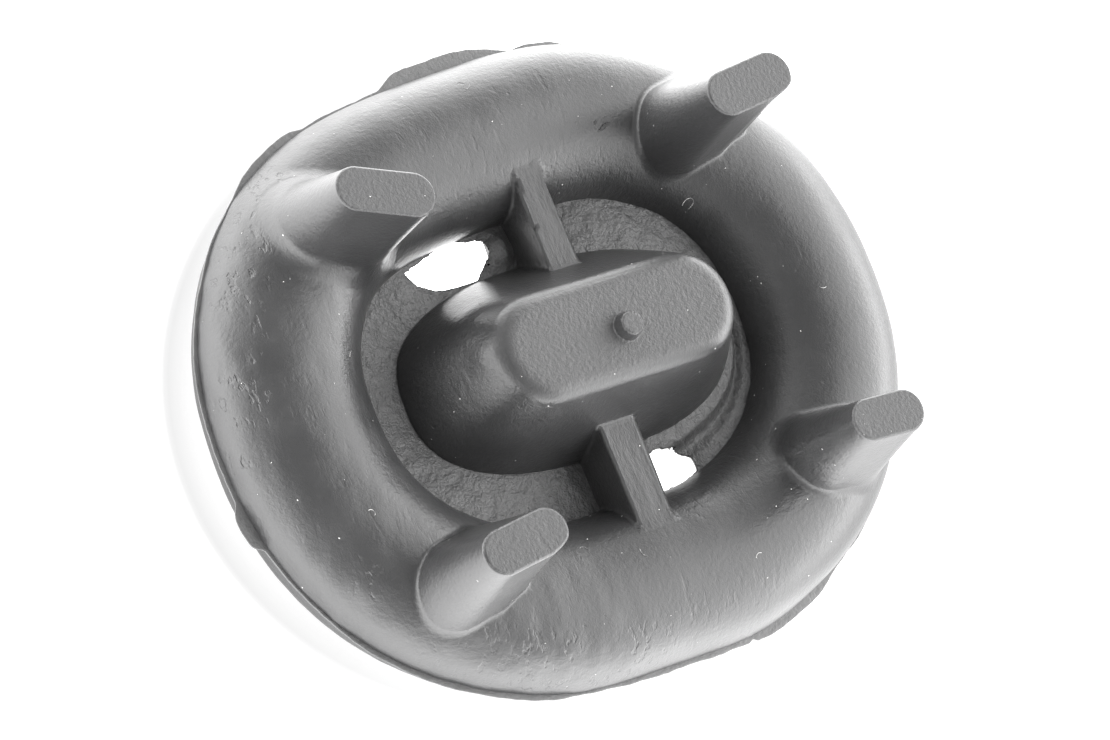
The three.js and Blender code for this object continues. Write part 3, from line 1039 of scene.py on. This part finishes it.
def rubber(name, dark, grey, roughness, peel, flow, dents, wrinkles=0.0, moulded=True):
    """Black rubber with grain, flow marks, small dents and greyer bloom.

    dark and grey are its two tones, roughness the least and most. The moulded rubber also carries
    masks for its matt grained tops, its streaky webs and the places that were drawn out.
    """
    material, tree, shader, place = new_material(name)
    heights = [
        placed(tree, "peel", place, {"Pebbles": peel, "Tooth": peel * 0.6}).outputs["Height"],
        placed(tree, "flow", place, {"Depth": flow}).outputs["Height"],
        placed(tree, "pits", place, {"Depth": dents}).outputs["Height"],
    ]
    mask = placed(tree, "bloom", place, {"Amount": 0.75}).outputs["Mask"]
    greyer = sum_of(tree, "MULTIPLY", mask, 0.55)
    if moulded:
        matt, web = mask_value(tree, "matt_top"), mask_value(tree, "web_top")
        grain = sum_of(tree, "MULTIPLY", noise(tree, place, 2700, 3, 0.55), GRAIN_DEPTH)
        heights.append(sum_of(tree, "MULTIPLY", grain, mask_value(tree, "coarse_top")))
        deep = sum_of(tree, "MULTIPLY", web, STREAK_DEPTH)
        heights.append(placed(tree, "striae", place, {"Depth": deep}).outputs["Height"])
        deep = sum_of(tree, "MULTIPLY", mask_value(tree, "drawn_marks"), STREAK_DEPTH)
        along = turned(tree, place, 80)
        heights.append(placed(tree, "striae", along, {"Depth": deep}).outputs["Height"])
        folds = noise(tree, place, 1000, 3, 0.5, (1.5, 0.6, 0.8))
        deep = sum_of(tree, "MULTIPLY", mask_value(tree, "dented"), DENT_DEPTH)
        heights.append(sum_of(tree, "MULTIPLY", between(tree, folds, 0.32, 0.45), deep))
        scarred = 0.0
        for scar in SCARS:
            scarred = sum_of(tree, "ADD", scar_mask(tree, place, *scar), scarred, True)
        heights.append(sum_of(tree, "MULTIPLY", scarred, -SCAR_DEPTH))
        pale = sum_of(tree, "MULTIPLY", sum_of(tree, "ADD", matt, web, True), 0.6)
        greyer = sum_of(tree, "ADD", greyer, pale, True)
    if wrinkles:
        folds = noise(tree, place, 620, 4, 0.65, (1.0, 0.6, 1.0))
        heights.append(sum_of(tree, "MULTIPLY", folds, wrinkles * 0.6))
        heights.append(sum_of(tree, "MULTIPLY", noise(tree, place, 1900, 3, 0.6), wrinkles))
    bump = tree.nodes.new("ShaderNodeBump")
    bump.inputs["Strength"].default_value = 1.0
    bump.inputs["Distance"].default_value = BUMP_STEP
    tree.links.new(added(tree, heights), bump.inputs["Height"])
    tree.links.new(bump.outputs["Normal"], shader.inputs["Normal"])
    tone = blend(tree, greyer, dark, grey)
    if moulded:
        tone = blend(tree, scarred, tone, SCAR_TONE)
    tree.links.new(tone, shader.inputs["Base Color"])
    tree.links.new(between(tree, greyer, 0.0, 1.0, *roughness), shader.inputs["Roughness"])
    return material


def dust_fleck():
    material, tree, shader, place = new_material("dust_fleck")
    share = between(tree, noise(tree, place, 900, 1), 0.4, 0.6)
    tone = blend(tree, share, (0.16, 0.16, 0.16), (0.62, 0.61, 0.6))
    tree.links.new(tone, shader.inputs["Base Color"])
    shader.inputs["Roughness"].default_value = 0.9
    return material


# Studio: a glowing white table, with a painted shadow in its glow round the ring, and white
# surroundings


def light_table():
    material, tree, shader, place = new_material("light_table")
    shader.inputs["Base Color"].default_value = (0.4, 0.4, 0.4, 1)
    shader.inputs["Roughness"].default_value = 0.6
    shader.inputs["Emission Color"].default_value = (1, 1, 1, 1)
    shrink = tree.nodes.new("ShaderNodeMapping")
    shrink.inputs["Scale"].default_value = (2 / (RING_LENGTH * MM), 2 / (RING_WIDTH * MM), 0)
    tree.links.new(place, shrink.inputs["Vector"])
    across = shrink.outputs["Vector"]
    away = vector_sum(tree, "LENGTH", across)
    far = TABLE_RISE[-1][0] + 1
    # The glow rises away from the ring; its low stretch just outside the ring is painted shadow
    rise = ramp(tree, sum_of(tree, "DIVIDE", away, far), [(at / far, tone) for at, tone in TABLE_RISE])
    fall_way = (math.cos(TABLE_FALL_WAY), math.sin(TABLE_FALL_WAY), 0)
    low, high, share = TABLE_FALL
    off = sum_of(tree, "DIVIDE", vector_sum(tree, "DOT_PRODUCT", across, fall_way), away)
    tone = blend(tree, between(tree, off, low, high), rise, (share, share, share))
    glow = sum_of(tree, "MULTIPLY", tone, TABLE_BRIGHTNESS)
    tree.links.new(glow, shader.inputs["Emission Strength"])
    mesh = bpy.data.meshes.new("table")
    corners = [(x * TABLE_HALF, y * TABLE_HALF, TABLE_UNDER)
               for x, y in ((-1, -1), (1, -1), (1, 1), (-1, 1))]
    mesh.from_pydata(corners, [], [(0, 1, 2, 3)])
    mesh.materials.append(material)
    table = bpy.data.objects.new("table", mesh)
    bpy.context.scene.collection.objects.link(table)


def surroundings():
    """White walls up to the horizon, dimmer overhead, with a broad soft lamp on one side."""
    world = bpy.data.worlds.new("surroundings")
    world.use_nodes = True
    bpy.context.scene.world = world
    tree = world.node_tree
    back = tree.nodes["Background"]
    way = tree.nodes.new("ShaderNodeTexCoord").outputs["Generated"]
    split = tree.nodes.new("ShaderNodeSeparateXYZ")
    tree.links.new(way, split.inputs[0])
    walls = ramp(tree, split.outputs["Z"], WALL_TONES)
    near = vector_sum(tree, "DOT_PRODUCT", way, LAMP_WAY.normalized())
    lamp = between(tree, near, LAMP_EDGE, LAMP_CORE, 0.0, LAMP_BRIGHTNESS)
    tree.links.new(sum_of(tree, "ADD", walls, lamp), back.inputs["Color"])
    back.inputs["Strength"].default_value = WALL_BRIGHTNESS


def camera():
    """At the photograph's viewing angle, which was fitted to the ring and the peg tips."""
    tilt, turn, roll = math.radians(33.21), math.radians(193.565), math.radians(56.512)
    distance, target = 427.48 * MM, Vector((-0.486, -0.56, PARTING_HEIGHT)) * MM
    photo_width, focus, film = 1110, 4425.973, 36
    away = Vector((math.sin(tilt) * math.cos(turn), math.sin(tilt) * math.sin(turn), math.cos(tilt)))
    side = Vector((-math.sin(turn), math.cos(turn), 0))
    up = away.cross(side)
    right = math.cos(roll) * side + math.sin(roll) * up
    above = -math.sin(roll) * side + math.cos(roll) * up
    data = bpy.data.cameras.new("camera")
    data.sensor_fit, data.sensor_width = "HORIZONTAL", film
    data.lens = focus * film / photo_width
    data.clip_start, data.clip_end = 0.01, 20
    seer = bpy.data.objects.new("camera", data)
    seer.matrix_world = Matrix.Translation(target + away * distance) @ Matrix(
        (right, above, away)
    ).transposed().to_4x4()
    bpy.context.scene.collection.objects.link(seer)
    bpy.context.scene.camera = seer


body_rubber = rubber(
    "moulded_rubber", (0.022, 0.022, 0.0225), (0.041, 0.041, 0.0415), (0.33, 0.55),
    peel=0.75, flow=0.4, dents=0.8,
)
flash_rubber = rubber(
    "flash_rubber", (0.05, 0.05, 0.0505), (0.095, 0.095, 0.095), (0.4, 0.6),
    peel=1.0, flow=0.8, dents=0.6, wrinkles=4.5, moulded=False,
)
rim_rubber = rubber(
    "rim_rubber", (0.065, 0.065, 0.0655), (0.11, 0.11, 0.11), (0.38, 0.55),
    peel=0.8, flow=0.4, dents=0.5, wrinkles=1.6, moulded=False,
)
body = moulding(body_rubber)
flash_skin(flash_rubber)
flash_rim(rim_rubber)
flecks = dust_fleck()
dust(body, flecks)
lint(body, flecks)
light_table()
surroundings()
camera()
bpy.context.scene.view_settings.view_transform = "Standard"
